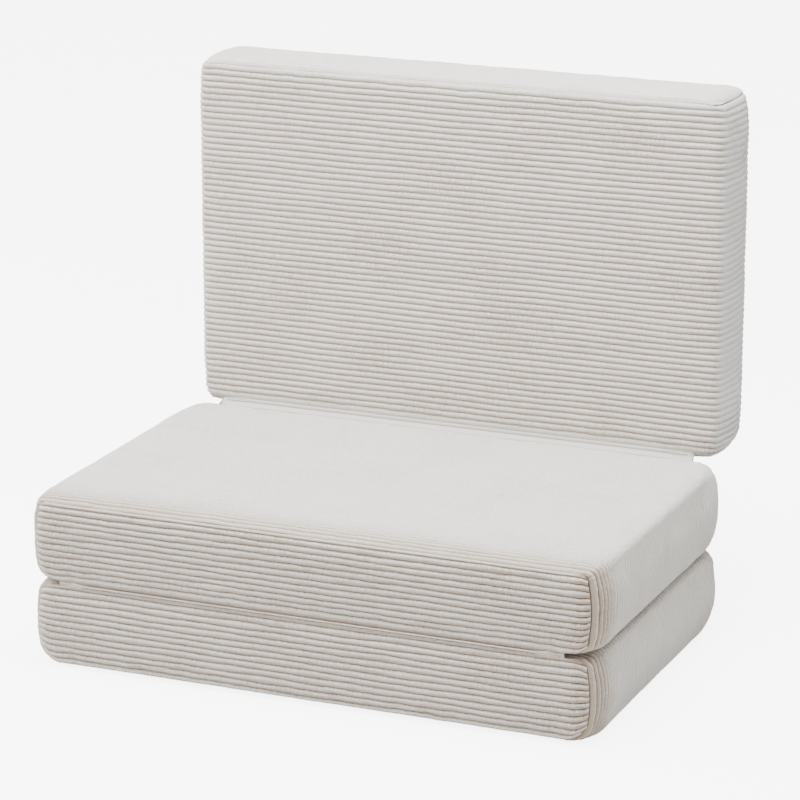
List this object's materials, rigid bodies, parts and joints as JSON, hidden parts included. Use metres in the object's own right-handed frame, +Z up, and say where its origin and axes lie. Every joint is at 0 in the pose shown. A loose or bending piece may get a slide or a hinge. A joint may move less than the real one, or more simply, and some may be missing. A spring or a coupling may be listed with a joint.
{
  "type": "tri-fold foam mattress",
  "caption": "Foam mattress in hinged padded sections with a wide-wale corduroy cover, folded into a low floor chair; opens flat as a bed. Sleeping, seating.",
  "frame": {"origin": "middle of the base's flat underside, on the floor", "axes": "+X across the mattress, to the right as seen from the front; +Y to the rear, where the back stands; +Z up"},
  "size_m": [1.0325, 0.7925, 0.9255],
  "materials": {
    "corduroy": "wide-wale cotton corduroy, cream",
    "comfort_foam": "soft polyurethane foam",
    "support_foam": "firm polyurethane foam",
    "fold_tape": "woven cotton tape",
    "thread": "twisted polyester thread",
    "zip_tape": "woven polyester tape",
    "zip_coil": "moulded nylon",
    "zip_metal": "painted zinc"
  },
  "bodies": {
    "base": {"base_support_foam": "support_foam", "base_comfort_foam": "comfort_foam", "base_cover_wrap": "corduroy", "base_front_panel": "corduroy", "base_rear_panel": "corduroy", "base_zip_tapes": "zip_tape", "base_zip_coils": "zip_coil", "base_zip_stops": "zip_coil", "front_fold_lower_tape": "fold_tape", "front_fold_thread": "thread"},
    "seat": {"seat_support_foam": "support_foam", "seat_comfort_foam": "comfort_foam", "seat_cover_wrap": "corduroy", "seat_front_panel": "corduroy", "seat_rear_panel": "corduroy", "seat_zip_tapes": "zip_tape", "seat_zip_coils": "zip_coil", "seat_zip_stops": "zip_coil", "front_fold_upper_tape": "fold_tape", "rear_fold_seat_tape": "fold_tape", "rear_fold_thread": "thread"},
    "back": {"back_support_foam": "support_foam", "back_comfort_foam": "comfort_foam", "back_cover_wrap": "corduroy", "back_bottom_panel": "corduroy", "back_top_panel": "corduroy", "back_zip_tapes": "zip_tape", "back_zip_coils": "zip_coil", "back_zip_stops": "zip_coil", "rear_fold_back_tape": "fold_tape"},
    "base_slider": {"base_zip_slider": "zip_metal"},
    "base_pull": {"base_zip_pull": "zip_metal"},
    "seat_slider": {"seat_zip_slider": "zip_metal"},
    "seat_pull": {"seat_zip_pull": "zip_metal"},
    "back_slider": {"back_zip_slider": "zip_metal"},
    "back_pull": {"back_zip_pull": "zip_metal"}
  },
  "joints": [
    {"name": "front_fold", "type": "hinge", "parent": "base", "child": "seat", "pos_m": [0, -0.3175, 0.149], "axis": [1, 0, 0], "range_deg": [0, 180]},
    {"name": "rear_fold", "type": "hinge", "parent": "seat", "child": "back", "pos_m": [0, 0.3255, 0.298], "axis": [1, 0, 0], "range_deg": [-90, 90]},
    {"name": "base_zip", "type": "slide", "parent": "base", "child": "base_slider", "axis": [0, -1, 0], "range_m": [0, 0.4264]},
    {"name": "base_pull_swing", "type": "hinge", "parent": "base_slider", "child": "base_pull", "pos_m": [-0.5126, 0.21335, 0.0745], "axis": [0, 0, -1], "range_deg": [0, 180]},
    {"name": "seat_zip", "type": "slide", "parent": "seat", "child": "seat_slider", "axis": [0, -1, 0], "range_m": [0, 0.4264]},
    {"name": "seat_pull_swing", "type": "hinge", "parent": "seat_slider", "child": "seat_pull", "pos_m": [-0.5166, 0.21335, 0.2235], "axis": [0, 0, -1], "range_deg": [0, 180]},
    {"name": "back_zip", "type": "slide", "parent": "back", "child": "back_slider", "axis": [0, 0, 1], "range_m": [0, 0.4264]},
    {"name": "back_pull_swing", "type": "hinge", "parent": "back_slider", "child": "back_pull", "pos_m": [-0.5056, 0.4, 0.39475], "axis": [0, 1, 0], "range_deg": [0, 180]}
  ]
}
